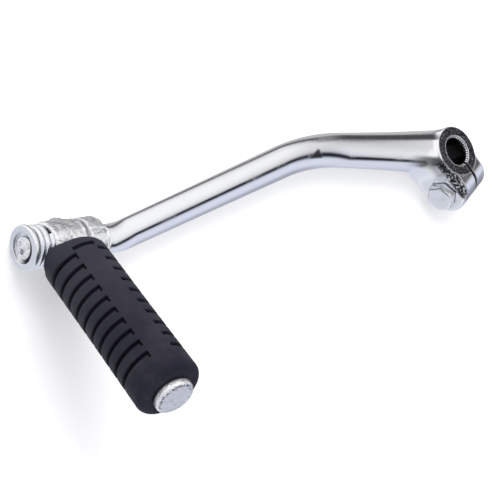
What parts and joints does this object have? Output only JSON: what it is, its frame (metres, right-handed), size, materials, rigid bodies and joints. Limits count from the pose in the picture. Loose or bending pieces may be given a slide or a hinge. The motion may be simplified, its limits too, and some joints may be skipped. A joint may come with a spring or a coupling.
{
  "type": "kick start lever",
  "caption": "Folding kick start lever: a bent chromed arm clamps on a serrated shaft and carries a sprung, ribbed rubber pedal that folds about the arm's end.",
  "frame": {"origin": "middle of the boss's length on the axis of the serrated bore", "axes": "+Z along the bore to the lever's outer face, +X along the lever to the pedal, +Y to the side of the clamp jaws"},
  "size_m": [0.2747, 0.1164, 0.0669],
  "materials": {
    "arm_chrome": "bright chrome plate",
    "bolt_zinc": "bright zinc plate",
    "pedal_steel": "plated over a rough cast surface",
    "pedal_rubber": "matt moulded rubber",
    "spring_steel": "plated wire",
    "washer_zinc": "bright zinc plate"
  },
  "bodies": {
    "arm": {"kick_arm": "arm_chrome", "clamp_bolt": "bolt_zinc", "fold_spring": "spring_steel", "end_washer": "washer_zinc"},
    "pedal": {"pedal_bar": "pedal_steel", "pedal_rubber": "pedal_rubber"}
  },
  "joints": [
    {"name": "pedal_fold", "type": "hinge", "parent": "arm", "child": "pedal", "pos_m": [0.2342, 0.0219, 0], "axis": [1, 0, 0], "range_deg": [0, 58]}
  ]
}
